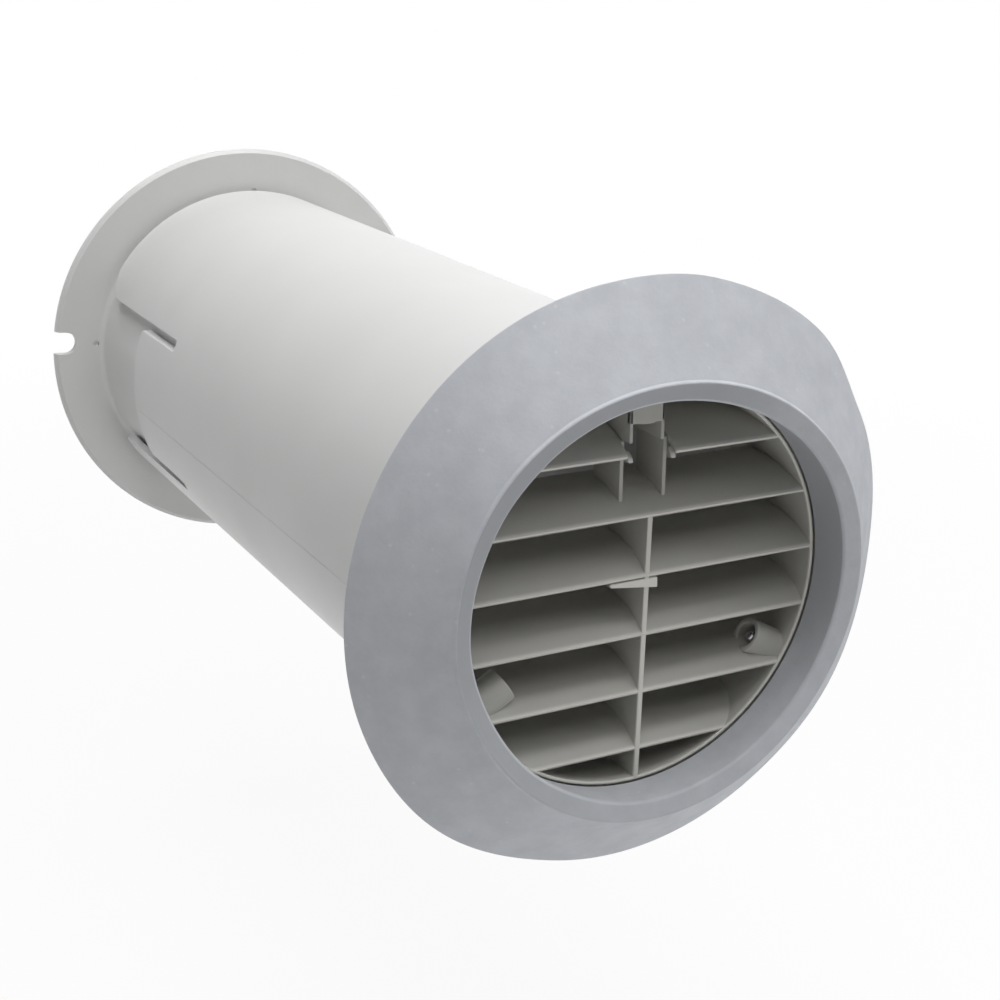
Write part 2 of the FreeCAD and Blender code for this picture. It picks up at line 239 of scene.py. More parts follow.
def linear(colour):
    """An sRGB hex colour as linear RGBA."""
    shares = [int(colour[place:place + 2], 16) / 255 for place in (1, 3, 5)]
    return [s / 12.92 if s <= 0.04045 else ((s + 0.055) / 1.055) ** 2.4 for s in shares] + [1.0]


def add_node(tree, kind, settings=None, inputs=None):
    """Add a node with its settings; an input takes a value, or an output socket as a link."""
    node = tree.nodes.new(kind)
    for name, value in (settings or {}).items():
        setattr(node, name, value)
    for name, value in (inputs or {}).items():
        if isinstance(value, bpy.types.NodeSocket):
            tree.links.new(value, node.inputs[name])
        else:
            node.inputs[name].default_value = value
    return node


def new_material(name):
    """A named material, its node tree and its shader."""
    material = bpy.data.materials.new(name)
    material.use_nodes = True
    return material, material.node_tree, material.node_tree.nodes["Principled BSDF"]


def noise(tree, place, size, detail, roughness=0.5):
    """Noise with features of a size in millimetres."""
    return add_node(tree, "ShaderNodeTexNoise", None, {
        "Vector": place, "Scale": 1 / (size * MM), "Detail": detail, "Roughness": roughness}).outputs["Fac"]


def mixed(tree, share, first, second):
    """Two colours, mixed by a share."""
    return add_node(tree, "ShaderNodeMix", {"data_type": "RGBA"},
                    {"Factor": share, "A": first, "B": second}).outputs["Result"]


def spread(tree, value, limits):
    """A value from 0 to 1, spread over the range between two limits."""
    return add_node(tree, "ShaderNodeMapRange", None,
                    {"Value": value, "To Min": limits[0], "To Max": limits[1]}).outputs["Result"]


def relief(tree, height, strength, depth):
    """A bump of a depth in millimetres."""
    return add_node(tree, "ShaderNodeBump", None,
                    {"Height": height, "Strength": strength, "Distance": depth * MM}).outputs["Normal"]


def link_all(tree, shader, outputs):
    """Link outputs to the shader's inputs, by the inputs' names."""
    for name, output in outputs.items():
        tree.links.new(output, shader.inputs[name])


# ABS moulded against a polished tool: nearly flat white, with slow clouds in tone and gloss from
# the flow of the melt, and a faint orange peel that breaks the reflections.
white_abs, tree, shader = new_material("white ABS, moulded semi-gloss")
place = add_node(tree, "ShaderNodeTexCoord").outputs["Object"]
cloud = noise(tree, place, WHITE_CLOUD, WHITE_CLOUD_DETAIL)
peel = noise(tree, place, WHITE_PEEL, WHITE_PEEL_DETAIL)
link_all(tree, shader, {
    "Base Color": mixed(tree, cloud, linear(WHITE_LIGHT), linear(WHITE_DARK)),
    "Roughness": spread(tree, cloud, WHITE_GLOSS),
    "Normal": relief(tree, peel, WHITE_PEEL_STRENGTH, WHITE_PEEL_DEPTH),
})
shader.inputs["IOR"].default_value = ABS_IOR

# The tube's wall is divided along the slots, so that long cut faces don't carry their shading far.
ahead_of_slots = SLOT_END - FINGER_SLOT_WIDTH
slot_zone = TUBE_REAR - ahead_of_slots
stops = [ahead_of_slots + slot_zone * step / WALL_STEPS for step in range(WALL_STEPS)]
tube = as_object("tube", as_mesh("tube", turned(rounded([
    *[(TUBE_BORE, stop, 0) for stop in reversed(stops)], (TUBE_BORE, TUBE_FRONT, 0),
    (TUBE_RADIUS, TUBE_FRONT, 0), *[(TUBE_RADIUS, stop, 0) for stop in stops],
    (TUBE_RADIUS, TUBE_REAR, TUBE_EDGE_ROUND), (TUBE_BORE, TUBE_REAR, TUBE_EDGE_ROUND),
]), TUBE_FACETS)))
window = finger_window()
for side in (-1, 1):
    reach = side * (TUBE_RADIUS + CUTTER_REACH)
    cutter = as_mesh("window", pushed(window, lambda y, z: (0, y, z), lambda y, z: (reach, y, z)))
    cutter.transform(Matrix.Rotation(-math.radians(FINGER_TURN), 4, "Y"))
    cut(tube, cutter)
round_edges(tube, MOULDED_EDGE)
seam = [(TUBE_RADIUS - SEAM_DEPTH, -SEAM_WIDTH / 2), (TUBE_RADIUS + SEAM_DEPTH, -SEAM_WIDTH / 2),
        (TUBE_RADIUS + SEAM_DEPTH, SEAM_WIDTH / 2), (TUBE_RADIUS - SEAM_DEPTH, SEAM_WIDTH / 2)]
seam_start = TUBE_FRONT - CUTTER_REACH
seam_end = FINGER_TIP + CUTTER_REACH
for angle in SEAM_ANGLES:
    cutter = as_mesh("seam", pushed(
        seam, lambda x, z: (x, seam_start, z), lambda x, z: (x, seam_end, z)))
    cutter.transform(Matrix.Rotation(-math.radians(angle), 4, "Y"))
    cut(tube, cutter)
finish_moulding(tube, white_abs)
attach(tube, "root")
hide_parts("wall_tube")

# Finger catches: a ramped bar moulded inside each finger's tip, which snaps behind the spigot's
# bead when the inner flange is pushed home.
HOOK_LENGTH = 3.5
HOOK_FLAT = 1.8
SNAP_GAP = 0.4
SPIGOT_RADIUS = 50.6
CATCH_FACETS = 36

catch_radius = SPIGOT_RADIUS + SNAP_GAP
catch_foot = FINGER_TIP - HOOK_LENGTH
catch_root = TUBE_BORE + SNAP_GAP
catch_outline = [
    (catch_radius, catch_foot), (catch_root, catch_foot), (catch_root, FINGER_TIP - SNAP_GAP),
    (TUBE_BORE, FINGER_TIP - SNAP_GAP), (catch_radius, catch_foot + HOOK_FLAT),
]
catch_half_angle = math.degrees(math.asin((FINGER_HALF_HEIGHT - FINGER_CORNER_ROUND) / TUBE_RADIUS))
catches = as_object("finger_catches", as_mesh("finger_catches", *[
    turned(catch_outline, CATCH_FACETS, middle + FINGER_TURN - catch_half_angle, 2 * catch_half_angle)
    for middle in (0, 180)
]))
round_edges(catches, MOULDED_EDGE)
finish_moulding(catches, white_abs)
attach(catches, "root")

# Inner flange: plate and spigot in one moulding of the same white ABS. The plate lies on the room
# side of the wall, with two notches in its rim for screws and four shallow dimples as drill marks.
PLATE_RADIUS = 68.75
PLATE_BEVEL = 1.2
PLATE_EDGE_ROUND = 0.5
PLATE_MOULDED_EDGE = 0.15
PLATE_TURN = -5.5
SPIGOT_WALL = 2.5
SPIGOT_FOOT_ROUND = 2.0
SPIGOT_TAIL = 32.0
BEAD_WIDTH = 4.0
BEAD_ROUND = 0.3
COLLAR_RADIUS = 51.8
GROOVE_SLACK = 1.0
NOTCH_WIDTH = 7.6
NOTCH_DEPTH = 7.4
NOTCH_ROUND = 3.7
NOTCH_COUNT = 2
DIMPLE_COUNT = 4
DIMPLE_CIRCLE = 54.6
DIMPLE_RADIUS = 0.9
DIMPLE_DEPTH = 0.6
DIMPLE_FACETS = 24

flange_low, flange_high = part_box("inner_flange")
PLATE_THICKNESS = flange_high.y / MM
SPIGOT_END = flange_low.y / MM
BEAD_FRONT = SPIGOT_END + SPIGOT_TAIL
BEAD_REAR = BEAD_FRONT + BEAD_WIDTH
BEAD_RADIUS = TUBE_BORE - SNAP_GAP
GROOVE_REAR = FINGER_TIP + SNAP_GAP
GROOVE_HALF_ANGLE = catch_half_angle + GROOVE_SLACK
SPIGOT_BORE = SPIGOT_RADIUS - SPIGOT_WALL


def add_group_socket(tree, name, kind, direction="INPUT"):
    """Add a named input, or an output, to a geometry tree."""
    tree.interface.new_socket(name, in_out=direction, socket_type=kind)


def grow(name, mesh, tree, values):
    """Run a geometry tree on a mesh, with values for its named inputs, and return the plain result."""
    seed = as_object(name, mesh)
    modifier = seed.modifiers.new(tree.name, "NODES")
    modifier.node_group = tree
    for socket in tree.interface.items_tree:
        if socket.name in values:
            modifier[socket.identifier] = values[socket.name]
    bake(seed)
    result = seed.data
    bpy.data.objects.remove(seed)
    return result


# Sets copies of a part round the tube's axis: one at each spot, turned by the spot's own angle.
round_axis = bpy.data.node_groups.new("set round the axis", "GeometryNodeTree")
add_group_socket(round_axis, "Spots", "NodeSocketGeometry")
add_group_socket(round_axis, "Part", "NodeSocketObject")
add_group_socket(round_axis, "Finish", "NodeSocketMaterial")
add_group_socket(round_axis, "Parts", "NodeSocketGeometry", "OUTPUT")
given = add_node(round_axis, "NodeGroupInput")
turn = add_node(round_axis, "GeometryNodeInputNamedAttribute", {"data_type": "FLOAT"}, {"Name": "turn"})
angles = add_node(round_axis, "ShaderNodeCombineXYZ", None, {"Y": turn.outputs["Attribute"]})
rotation = add_node(round_axis, "FunctionNodeEulerToRotation", None, {"Euler": angles.outputs["Vector"]})
part = add_node(round_axis, "GeometryNodeObjectInfo", None, {"Object": given.outputs["Part"]})
copies = add_node(round_axis, "GeometryNodeInstanceOnPoints", None,
                  {"Points": given.outputs["Spots"], "Instance": part.outputs["Geometry"],
                   "Rotation": rotation.outputs["Rotation"]})
solid_copies = add_node(round_axis, "GeometryNodeRealizeInstances", None,
                        {"Geometry": copies.outputs["Instances"]})
painted = add_node(round_axis, "GeometryNodeSetMaterial", None,
                   {"Geometry": solid_copies.outputs["Geometry"], "Material": given.outputs["Finish"]})
add_node(round_axis, "NodeGroupOutput", None, {"Parts": painted.outputs["Geometry"]})


def set_round(name, mesh, turns, material, shifts=None):
    """Copies of a part that is drawn at +X, turned to each angle from +X towards +Z and shifted out."""
    places = []
    for angle, shift in zip(turns, shifts or [0] * len(turns)):
        places.append((shift * math.cos(math.radians(angle)), 0, shift * math.sin(math.radians(angle))))
    spots = bpy.data.meshes.new(name)
    spots.from_pydata(places, [], [])
    turn_of_spot = spots.attributes.new("turn", "FLOAT", "POINT")
    for spot, angle in zip(turn_of_spot.data, turns):
        spot.value = -math.radians(angle)
    part = as_object("part", mesh)
    result = grow(name, spots, round_axis, {"Part": part, "Finish": material})
    bpy.data.objects.remove(part)
    return result


inner_flange = as_object("inner_flange_plate", as_mesh("inner_flange_plate", turned(rounded([
    (SPIGOT_BORE, PLATE_THICKNESS, PLATE_EDGE_ROUND), (PLATE_RADIUS, PLATE_THICKNESS, PLATE_EDGE_ROUND),
    (PLATE_RADIUS, PLATE_BEVEL, BEAD_ROUND), (PLATE_RADIUS - PLATE_BEVEL, 0, BEAD_ROUND),
    (COLLAR_RADIUS, 0, SPIGOT_FOOT_ROUND), (COLLAR_RADIUS, GROOVE_REAR + SNAP_GAP, 0),
    (COLLAR_RADIUS, BEAD_REAR, 0), (BEAD_RADIUS, BEAD_REAR, BEAD_ROUND),
    (BEAD_RADIUS, SPIGOT_END, PLATE_EDGE_ROUND), (SPIGOT_BORE, SPIGOT_END, PLATE_EDGE_ROUND),
]), TUBE_FACETS)))

# The collar has a groove only where the catches reach in, so that the rest of it shows round.
groove_outline = [(SPIGOT_RADIUS, GROOVE_REAR), (TUBE_RADIUS, GROOVE_REAR),
                  (TUBE_RADIUS, BEAD_REAR), (SPIGOT_RADIUS, BEAD_REAR)]
cut(inner_flange, as_mesh("groove", *[
    turned(groove_outline, CATCH_FACETS, middle + FINGER_TURN - GROOVE_HALF_ANGLE, 2 * GROOVE_HALF_ANGLE)
    for middle in (0, 180)
]))

notch_end = PLATE_RADIUS - NOTCH_DEPTH
notch_half = NOTCH_WIDTH / 2
notch = rounded([
    (notch_end, -notch_half, NOTCH_ROUND), (PLATE_RADIUS + CUTTER_REACH, -notch_half, 0),
    (PLATE_RADIUS + CUTTER_REACH, notch_half, 0), (notch_end, notch_half, NOTCH_ROUND),
])
notch_mesh = as_mesh("notch", pushed(
    notch, lambda x, z: (x, -CUTTER_REACH, z), lambda x, z: (x, PLATE_THICKNESS + CUTTER_REACH, z)))
notch_turns = [PLATE_TURN + index * 360 / NOTCH_COUNT for index in range(NOTCH_COUNT)]
cut(inner_flange, set_round("notches", notch_mesh, notch_turns, white_abs))

dimple = []
for facet in range(DIMPLE_FACETS):
    angle = math.tau * facet / DIMPLE_FACETS
    dimple.append((DIMPLE_CIRCLE + math.cos(angle) * DIMPLE_RADIUS, math.sin(angle) * DIMPLE_RADIUS))
dimple_mesh = as_mesh("dimple", pushed(
    dimple, lambda x, z: (x, -CUTTER_REACH, z), lambda x, z: (x, DIMPLE_DEPTH, z)))
dimple_turns = [PLATE_TURN + index * 360 / DIMPLE_COUNT for index in range(DIMPLE_COUNT)]
cut(inner_flange, set_round("dimples", dimple_mesh, dimple_turns, white_abs))
round_edges(inner_flange, PLATE_MOULDED_EDGE)
finish_moulding(inner_flange, white_abs)
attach(inner_flange, "root")
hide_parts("inner_flange")

# Louvre grille: one moulding of warm grey ABS that slides into the tube's outdoor end. Bent slats
# shed the rain, a rib ties them together, and three bosses take the screws from outside.
RING_RADIUS = 52.3
RING_WALL = 2.9
RING_LAND = 0.75
RING_REBATE = 1.5
RING_EDGE_ROUND = 0.25
SLAT_COUNT = 5
SLAT_PITCH = 14.8
LOWEST_SLAT = -41.8
SLAT_FRONT_THICKNESS = 1.2
SLAT_BACK_THICKNESS = 1.3
SLAT_DEPTH = 20.0
SLAT_BEND_RADIUS = 24.0
SLAT_DROOP = 42.0
SLAT_ROOT = 0.3
SLAT_STEPS = 16
TOP_SLAT_STEP = 0.3
TOP_SLAT_GAP = 12.8
TOP_SLAT_LIP = 1.6
TOP_SLAT_LIP_LENGTH = 2.5
RIB_X = 2.1
RIB_THICKNESS = 1.4
RIB_DEPTH = 18.0
RIB_LEAN = 1.6
RIB_PIVOT_HEIGHT = -15.0
CHUTE_X = 2.7
CHUTE_WIDTH = 11.6
CHUTE_RIB_THICKNESS = 1.1
CHUTE_SETBACK = 4.0
CHUTE_DEPTH = 12.0
GATE_LENGTH = 12.9
GATE_OVERHANG = 3.2
GATE_THICKNESS = 1.7
GATE_DROP = 0.9
GATE_TIP_HEIGHT = 0.8
GATE_END_HEIGHT = 2.6
BOSS_ANGLES = (87.5, 211.5, 330.0)
BOSS_LENGTHS = (10.2, 11.0, 8.8)
BOSS_RADIUS = 4.4
BOSS_SETBACK = 5.4
BOSS_MOUTH_RADIUS = 3.1
BOSS_MOUTH_DEPTH = 5.0
BOSS_MOUTH_ROUND = 0.4
BOSS_ROOT = 2.6
BOSS_PIN = 0.01
BOSS_FACETS = 48
SADDLE_X = 1.6
SADDLE_WIDTH = 9.4
SADDLE_DROP = 4.4
SADDLE_THICKNESS = 1.0
GRILLE_EDGE = 0.32
GREY_LIGHT = "#cbcac4"
GREY_DARK = "#bfbeb8"
# The next colour is a painted highlight for the slats' front edges.
GREY_EDGE_HIGHLIGHT = "#f4f2ea"
GREY_GLOSS = (0.38, 0.62)
GREY_CLOUD = 24.0
GREY_CLOUD_DETAIL = 4.0
GREY_GRAIN = 0.7
GREY_GRAIN_DETAIL = 3.0
GREY_GRAIN_STRENGTH = 0.2
GREY_GRAIN_DEPTH = 0.06
EDGE_HIGHLIGHT_DEPTH = 1.0

ring_low, ring_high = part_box("louvre_grille")
RING_FRONT = ring_low.y / MM
RING_REAR = ring_high.y / MM
RING_BORE = RING_RADIUS - RING_WALL
BOSS_Y = RING_FRONT + BOSS_SETBACK
BOSS_END = RING_BORE - min(BOSS_LENGTHS)

# Satin ABS from a spark-eroded tool: a fine even grain scatters the light, so that the slats show
# no mirror streaks. Their front edges are painted pale, a painted highlight where the light catches them.
grey_abs, tree, shader = new_material("warm grey ABS, moulded satin")
place = add_node(tree, "ShaderNodeTexCoord").outputs["Object"]
cloud = noise(tree, place, GREY_CLOUD, GREY_CLOUD_DETAIL)
tone = mixed(tree, cloud, linear(GREY_LIGHT), linear(GREY_DARK))
along = add_node(tree, "ShaderNodeSeparateXYZ", None, {"Vector": place}).outputs["Y"]
# Painted highlight: the first millimetre behind the front of the ring and slats is painted pale.
front_edge_highlight = add_node(tree, "ShaderNodeMapRange", {"interpolation_type": "SMOOTHSTEP"},
                  {"Value": along, "To Min": 1.0, "To Max": 0.0,
                   "From Min": RING_FRONT * MM, "From Max": (RING_FRONT + EDGE_HIGHLIGHT_DEPTH) * MM})
grain = noise(tree, place, GREY_GRAIN, GREY_GRAIN_DETAIL)
link_all(tree, shader, {
    "Base Color": mixed(tree, front_edge_highlight.outputs["Result"], tone, linear(GREY_EDGE_HIGHLIGHT)),
    "Roughness": spread(tree, grain, GREY_GLOSS),
    "Normal": relief(tree, grain, GREY_GRAIN_STRENGTH, GREY_GRAIN_DEPTH),
})
shader.inputs["IOR"].default_value = ABS_IOR


def slat_curve(height, drop_front, drop_back):
    """A slat's surface from front to back as (y, z): bent at first, then level, lowered by a drop."""
    droop = math.radians(SLAT_DROOP)
    centre_y = RING_FRONT + SLAT_BEND_RADIUS * math.sin(droop)
    centre_z = height - SLAT_BEND_RADIUS * math.cos(droop)
    points = []
    for step in range(SLAT_STEPS + 1):
        share = step / SLAT_STEPS
        angle = droop * (1 - share)
        radius = SLAT_BEND_RADIUS - drop_front - (drop_back - drop_front) * share
        points.append((centre_y - radius * math.sin(angle), centre_z + radius * math.cos(angle)))
    points.append((RING_FRONT + SLAT_DEPTH, centre_z + SLAT_BEND_RADIUS - drop_back))
    return points


def slat_middle(height, front, back):
    """A slat's middle line between two places along the tube, as (y, z)."""
    half = SLAT_BACK_THICKNESS / 2
    return [(y, z) for y, z in slat_curve(height, half, half) if front < y < back]


# Stacks copies of one slat up the grille. A slat is drawn from x = 0 to 1, and each of its points
# is then moved out to the ring's wall at its own height, or to a limit where the slat is cut short.
slat_stack = bpy.data.node_groups.new("stack of slats", "GeometryNodeTree")
add_group_socket(slat_stack, "Slat", "NodeSocketGeometry")
for name in ("Lowest", "Pitch", "Reach", "Left Limit", "Right Limit"):
    add_group_socket(slat_stack, name, "NodeSocketFloat")
add_group_socket(slat_stack, "Count", "NodeSocketInt")
add_group_socket(slat_stack, "Finish", "NodeSocketMaterial")
add_group_socket(slat_stack, "Slats", "NodeSocketGeometry", "OUTPUT")
given = add_node(slat_stack, "NodeGroupInput")
start = add_node(slat_stack, "ShaderNodeCombineXYZ", None, {"Z": given.outputs["Lowest"]})
rise = add_node(slat_stack, "ShaderNodeCombineXYZ", None, {"Z": given.outputs["Pitch"]})
line = add_node(slat_stack, "GeometryNodeMeshLine", None,
                {"Count": given.outputs["Count"], "Start Location": start.outputs["Vector"],
                 "Offset": rise.outputs["Vector"]})
copies = add_node(slat_stack, "GeometryNodeInstanceOnPoints", None,
                  {"Points": line.outputs["Mesh"], "Instance": given.outputs["Slat"]})
solid_copies = add_node(slat_stack, "GeometryNodeRealizeInstances", None,
                        {"Geometry": copies.outputs["Instances"]})
here = add_node(slat_stack, "ShaderNodeSeparateXYZ", None,
                {"Vector": add_node(slat_stack, "GeometryNodeInputPosition").outputs["Position"]})
height_squared = add_node(slat_stack, "ShaderNodeMath", {"operation": "MULTIPLY"},
                          {0: here.outputs["Z"], 1: here.outputs["Z"]})
reach_squared = add_node(slat_stack, "ShaderNodeMath", {"operation": "MULTIPLY"},
                         {0: given.outputs["Reach"], 1: given.outputs["Reach"]})
span = add_node(slat_stack, "ShaderNodeMath", {"operation": "SUBTRACT"},
                {0: reach_squared.outputs["Value"], 1: height_squared.outputs["Value"]})
chord = add_node(slat_stack, "ShaderNodeMath", {"operation": "SQRT"}, {0: span.outputs["Value"]})
other_chord = add_node(slat_stack, "ShaderNodeMath", {"operation": "MULTIPLY"},
                       {0: chord.outputs["Value"], 1: -1.0})
left = add_node(slat_stack, "ShaderNodeMath", {"operation": "MAXIMUM"},
                {0: other_chord.outputs["Value"], 1: given.outputs["Left Limit"]})
right = add_node(slat_stack, "ShaderNodeMath", {"operation": "MINIMUM"},
                 {0: chord.outputs["Value"], 1: given.outputs["Right Limit"]})
across = add_node(slat_stack, "ShaderNodeMapRange", None,
                  {"Value": here.outputs["X"],
                   "To Min": left.outputs["Value"], "To Max": right.outputs["Value"]})
moved = add_node(slat_stack, "ShaderNodeCombineXYZ", None,
                 {"X": across.outputs["Result"], "Y": here.outputs["Y"], "Z": here.outputs["Z"]})
fitted = add_node(slat_stack, "GeometryNodeSetPosition", None,
                  {"Geometry": solid_copies.outputs["Geometry"], "Position": moved.outputs["Vector"]})
painted = add_node(slat_stack, "GeometryNodeSetMaterial", None,
                   {"Geometry": fitted.outputs["Geometry"], "Material": given.outputs["Finish"]})
add_node(slat_stack, "NodeGroupOutput", None, {"Slats": painted.outputs["Geometry"]})


def slats(lowest, count, left_limit, right_limit):
    """A stack of slats as one solid."""
    upper = slat_curve(0, 0, 0)
    lower = slat_curve(0, SLAT_FRONT_THICKNESS, SLAT_BACK_THICKNESS)
    one = as_mesh("slat", pushed(upper + lower[::-1], lambda y, z: (0, y, z), lambda y, z: (1, y, z)))
    stack = grow("slats", one, slat_stack, {
        "Lowest": lowest, "Pitch": SLAT_PITCH, "Count": count, "Reach": RING_BORE + SLAT_ROOT,
        "Left Limit": left_limit, "Right Limit": right_limit, "Finish": grey_abs})
    solid = bmesh.new()
    solid.from_mesh(stack)
    return solid


def plate(outline, x_middle, thickness):
    """A plate along the tube's axis, from its (y, z) outline."""
    left_face = x_middle - thickness / 2
    right_face = x_middle + thickness / 2
    return pushed(outline, lambda y, z: (left_face, y, z), lambda y, z: (right_face, y, z))


def ring_floor(x):
    """Height at which an upright plate at x ends inside the ring's wall, above or below the axis."""
    return math.sqrt((RING_BORE + SLAT_ROOT) ** 2 - x ** 2)


top_slat = LOWEST_SLAT + SLAT_COUNT * SLAT_PITCH
second_slat = top_slat - SLAT_PITCH
gate_slat = second_slat - SLAT_PITCH
gap_left = CHUTE_X - TOP_SLAT_GAP / 2
gap_right = CHUTE_X + TOP_SLAT_GAP / 2
ring_land = RING_BORE + RING_LAND
grille_solids = [
    turned(rounded([
        (RING_BORE, RING_FRONT, RING_EDGE_ROUND), (ring_land, RING_FRONT, RING_EDGE_ROUND),
        (ring_land, RING_FRONT + RING_REBATE, 0), (RING_RADIUS, RING_FRONT + RING_REBATE, RING_EDGE_ROUND),
        (RING_RADIUS, RING_REAR, RING_EDGE_ROUND), (RING_BORE, RING_REAR, RING_EDGE_ROUND),
    ]), TUBE_FACETS),
    slats(LOWEST_SLAT, SLAT_COUNT, -RING_RADIUS, RING_RADIUS),
]

# The rib hangs from the second slat to the ring's floor, and leans a little to one side.
rib_back = RING_FRONT + RIB_DEPTH
rib_top = slat_middle(second_slat, RING_FRONT, rib_back)
rib_foot = -ring_floor(RIB_X)
rib_outline = rib_top + [(rib_back, rib_top[-1][1]), (rib_back, rib_foot), (RING_FRONT, rib_foot)]
rib = plate(rib_outline, RIB_X, RIB_THICKNESS)
bmesh.ops.rotate(rib, verts=rib.verts, cent=(RIB_X, 0, RIB_PIVOT_HEIGHT),
                 matrix=Matrix.Rotation(math.radians(RIB_LEAN), 3, "Y"))
grille_solids.append(rib)

# The top boss stands in a saddle: two walls, with a flat cover between them in front of the boss.
saddle_front = BOSS_Y - BOSS_RADIUS
saddle_back = saddle_front + CHUTE_DEPTH
saddle_head = RING_BORE - BOSS_LENGTHS[0] + SLAT_ROOT
saddle_foot = saddle_head - SADDLE_DROP
saddle_left = SADDLE_X - SADDLE_WIDTH / 2
saddle_right = SADDLE_X + SADDLE_WIDTH / 2
saddle_cover = [(saddle_left, saddle_head), (saddle_right, saddle_head),
                (saddle_right, ring_floor(saddle_right)), (saddle_left, ring_floor(saddle_right))]
grille_solids.append(pushed(saddle_cover, lambda x, z: (x, saddle_front, z),
                            lambda x, z: (x, BOSS_Y - BOSS_MOUTH_RADIUS, z)))
for side in (-1, 1):
    wall_x = SADDLE_X + side * (SADDLE_WIDTH - SADDLE_THICKNESS) / 2
    wall_top = ring_floor(wall_x)
    grille_solids.append(plate([
        (saddle_front, saddle_foot), (saddle_back, saddle_foot),
        (saddle_back, wall_top), (saddle_front, wall_top),
    ], wall_x, SADDLE_THICKNESS))

# The top slat is split by a gap under the saddle. Each half ends in a short lip, and a chute rib
# joins it to the slat below.
chute_front = RING_FRONT + CHUTE_SETBACK
chute_back = chute_front + CHUTE_DEPTH
lip_back = RING_FRONT + TOP_SLAT_LIP_LENGTH
for side, height, limits in (
        (-1, top_slat + TOP_SLAT_STEP / 2, (-RING_RADIUS, gap_left)),
        (1, top_slat - TOP_SLAT_STEP / 2, (gap_right, RING_RADIUS))):
    grille_solids.append(slats(height, 1, *limits))
    roof = slat_middle(height, chute_front, chute_back)
    floor = slat_middle(second_slat, chute_front, chute_back)
    chute = [(chute_front, floor[0][1])] + floor + [(chute_back, floor[-1][1]), (chute_back, roof[-1][1])]
    chute += roof[::-1] + [(chute_front, roof[0][1])]
    grille_solids.append(plate(chute, CHUTE_X + side * CHUTE_WIDTH / 2, CHUTE_RIB_THICKNESS))
    lip_roof = slat_middle(height, RING_FRONT, lip_back)
    lip = lip_roof + [(lip_roof[-1][0], height - TOP_SLAT_LIP), (RING_FRONT, height - TOP_SLAT_LIP)]
    lip_x = CHUTE_X + side * (TOP_SLAT_GAP - SLAT_BACK_THICKNESS) / 2
    grille_solids.append(plate(lip, lip_x, SLAT_BACK_THICKNESS))

# The gate bar is what is left of the runner through which the grille was moulded.
gate_right = RIB_X + GATE_OVERHANG
gate_left = gate_right - GATE_LENGTH
gate_top = gate_slat - GATE_DROP
gate_outline = [(gate_right, gate_top - GATE_END_HEIGHT), (gate_right, gate_top),
                (gate_left, gate_top), (gate_left, gate_top - GATE_TIP_HEIGHT)]
grille_solids.append(pushed(
    gate_outline, lambda x, z: (x, RING_FRONT, z), lambda x, z: (x, RING_FRONT + GATE_THICKNESS, z)))

# The bosses are one hollow cylinder with a core, set at three angles and each let in by its length.
boss_root = RING_BORE + BOSS_ROOT
boss = turned(rounded([
    (BOSS_MOUTH_RADIUS, BOSS_END, BOSS_MOUTH_ROUND), (BOSS_RADIUS, BOSS_END, BOSS_MOUTH_ROUND),
    (BOSS_RADIUS, boss_root, 0), (BOSS_MOUTH_RADIUS, boss_root, 0),
]), BOSS_FACETS)
core_radius = BOSS_MOUTH_RADIUS + BOSS_MOUTH_ROUND
core_foot = BOSS_END + BOSS_MOUTH_DEPTH
boss_core = turned(rounded([
    (BOSS_PIN, core_foot, 0), (core_radius, core_foot, 0),
    (core_radius, boss_root, 0), (BOSS_PIN, boss_root, 0),
]), BOSS_FACETS)
boss_mesh = as_mesh("boss", boss, boss_core)
boss_mesh.transform(Matrix.Translation((0, BOSS_Y, 0)) @ Matrix.Rotation(math.radians(-90), 4, "Z"))
boss_shifts = [min(BOSS_LENGTHS) - length for length in BOSS_LENGTHS]
bosses = bmesh.new()
bosses.from_mesh(set_round("bosses", boss_mesh, BOSS_ANGLES, grey_abs, boss_shifts))
grille_solids.append(bosses)

grille = as_object("grille", as_mesh("grille", *grille_solids))
round_edges(grille, GRILLE_EDGE)
finish_moulding(grille, grey_abs)
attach(grille, "root")
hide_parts("louvre_grille")

# Grille screws: three countersunk self-tapping screws of zinc plated steel, driven through the
# tube into the bosses. Their points show in the bosses' mouths; their heads lie under the rubber.
SCREW_RADIUS = 1.5
SCREW_HEAD_RADIUS = 2.9
SCREW_HEAD_HEIGHT = 1.7
SCREW_LENGTH = 13.5
SCREW_POINT_LENGTH = 1.2
SCREW_POINT_RADIUS = 1.0
THREAD_PITCH = 1.1
THREAD_DEPTH = 0.3
THREAD_STEEPNESS = 2.0
THREAD_FACETS = 24
THREAD_STEPS = 12
ZINC_LIGHT = "#c9cbcc"
ZINC_DARK = "#a6a8aa"
ZINC_GLOSS = (0.29, 0.45)
ZINC_SPANGLE = 0.8
ZINC_SPANGLE_DETAIL = 3.0

# Bright zinc on steel: a thin plated skin with a cloudy, slightly uneven gloss.
zinc, tree, shader = new_material("zinc plated steel, bright")
place = add_node(tree, "ShaderNodeTexCoord").outputs["Object"]
spangle = noise(tree, place, ZINC_SPANGLE, ZINC_SPANGLE_DETAIL)
link_all(tree, shader, {
    "Base Color": mixed(tree, spangle, linear(ZINC_LIGHT), linear(ZINC_DARK)),
    "Roughness": spread(tree, spangle, ZINC_GLOSS),
})
shader.inputs["Metallic"].default_value = 1.0


